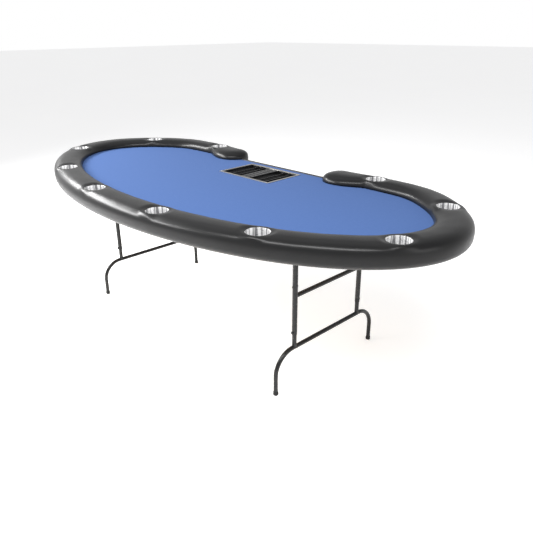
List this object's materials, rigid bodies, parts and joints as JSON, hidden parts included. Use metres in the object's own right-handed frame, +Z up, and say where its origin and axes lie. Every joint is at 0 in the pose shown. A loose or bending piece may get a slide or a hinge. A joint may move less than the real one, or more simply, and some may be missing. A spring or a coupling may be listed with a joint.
{
  "type": "poker table",
  "caption": "Oval poker table: padded black armrest open at the dealer's side, blue cloth, steel cup holders, chip tray and folding H-frame legs.",
  "frame": {"origin": "on the floor, under the middle of the top's outline box", "axes": "+X along the length, +Y towards the dealer's side, +Z up"},
  "size_m": [2.4372, 1.124, 0.756],
  "materials": {
    "plywood": "raw birch plywood",
    "cloth": "short-nap speed cloth",
    "black_vinyl": "satin padded vinyl, fine grain",
    "edging": "satin edging strip",
    "stainless_steel": "bright stainless steel",
    "satin_aluminium": "satin",
    "tray_plastic": "gloss black",
    "knob_plastic": "moulded black",
    "foot_rubber": "matt black",
    "zinc_steel": "zinc plated",
    "black_steel": "semi-gloss black powder coat"
  },
  "bodies": {
    "table_top": {"deck_board": "plywood", "playing_pad": "cloth", "rail_ring": "plywood", "skirt_ring": "plywood", "rail_cushion": "black_vinyl", "dealer_edge": "edging", "ring_screws": "zinc_steel", "cup_1": "stainless_steel", "cup_2": "stainless_steel", "cup_3": "stainless_steel", "cup_4": "stainless_steel", "cup_5": "stainless_steel", "cup_6": "stainless_steel", "cup_7": "stainless_steel", "cup_8": "stainless_steel", "cup_9": "stainless_steel", "cup_10": "stainless_steel", "left_brackets": "black_steel", "left_bracket_screws": "zinc_steel", "left_pivots": "zinc_steel", "right_brackets": "black_steel", "right_bracket_screws": "zinc_steel", "right_pivots": "zinc_steel"},
    "tray_unit": {"tray_frame": "satin_aluminium", "tray_screws": "zinc_steel", "chip_tray": "tray_plastic"},
    "left_upper_frame": {"left_upper_tubes": "black_steel", "left_crossbar": "black_steel", "left_stop_rivets": "black_steel"},
    "left_lower_frame": {"left_lower_tubes": "black_steel", "left_foot_bar": "black_steel", "left_foot_caps": "foot_rubber"},
    "left_knob_front_body": {"left_knob_front": "knob_plastic"},
    "left_pin_front_body": {"left_pin_front": "zinc_steel"},
    "left_knob_back_body": {"left_knob_back": "knob_plastic"},
    "left_pin_back_body": {"left_pin_back": "zinc_steel"},
    "right_upper_frame": {"right_upper_tubes": "black_steel", "right_crossbar": "black_steel", "right_stop_rivets": "black_steel"},
    "right_lower_frame": {"right_lower_tubes": "black_steel", "right_foot_bar": "black_steel", "right_foot_caps": "foot_rubber"},
    "right_knob_front_body": {"right_knob_front": "knob_plastic"},
    "right_pin_front_body": {"right_pin_front": "zinc_steel"},
    "right_knob_back_body": {"right_knob_back": "knob_plastic"},
    "right_pin_back_body": {"right_pin_back": "zinc_steel"}
  },
  "joints": [
    {"name": "left_fold", "type": "hinge", "parent": "table_top", "child": "left_upper_frame", "pos_m": [-0.672, 0.05975, 0.67], "axis": [0, -1, 0], "range_deg": [0, 90]},
    {"name": "left_height", "type": "slide", "parent": "left_upper_frame", "child": "left_lower_frame", "axis": [0, 0, -1], "range_m": [0, 0.09]},
    {"name": "left_knob_front_turn", "type": "hinge", "parent": "left_upper_frame", "child": "left_knob_front_body", "pos_m": [-0.672, -0.14925, 0.632], "axis": [0, -1, 0], "continuous": true},
    {"name": "left_pin_front_pull", "type": "slide", "parent": "left_upper_frame", "child": "left_pin_front_body", "axis": [0, -1, 0], "range_m": [0, 0.03]},
    {"name": "left_knob_back_turn", "type": "hinge", "parent": "left_upper_frame", "child": "left_knob_back_body", "pos_m": [-0.672, 0.26875, 0.632], "axis": [0, 1, 0], "continuous": true},
    {"name": "left_pin_back_pull", "type": "slide", "parent": "left_upper_frame", "child": "left_pin_back_body", "axis": [0, 1, 0], "range_m": [0, 0.03]},
    {"name": "right_fold", "type": "hinge", "parent": "table_top", "child": "right_upper_frame", "pos_m": [0.672, 0.05975, 0.67], "axis": [0, 1, 0], "range_deg": [0, 90]},
    {"name": "right_height", "type": "slide", "parent": "right_upper_frame", "child": "right_lower_frame", "axis": [0, 0, -1], "range_m": [0, 0.09]},
    {"name": "right_knob_front_turn", "type": "hinge", "parent": "right_upper_frame", "child": "right_knob_front_body", "pos_m": [0.672, -0.14925, 0.632], "axis": [0, -1, 0], "continuous": true},
    {"name": "right_pin_front_pull", "type": "slide", "parent": "right_upper_frame", "child": "right_pin_front_body", "axis": [0, -1, 0], "range_m": [0, 0.03]},
    {"name": "right_knob_back_turn", "type": "hinge", "parent": "right_upper_frame", "child": "right_knob_back_body", "pos_m": [0.672, 0.26875, 0.632], "axis": [0, 1, 0], "continuous": true},
    {"name": "right_pin_back_pull", "type": "slide", "parent": "right_upper_frame", "child": "right_pin_back_body", "axis": [0, 1, 0], "range_m": [0, 0.03]},
    {"name": "tray_lift", "type": "slide", "parent": "table_top", "child": "tray_unit", "axis": [0, 0, 1], "range_m": [0, 0.05]}
  ]
}
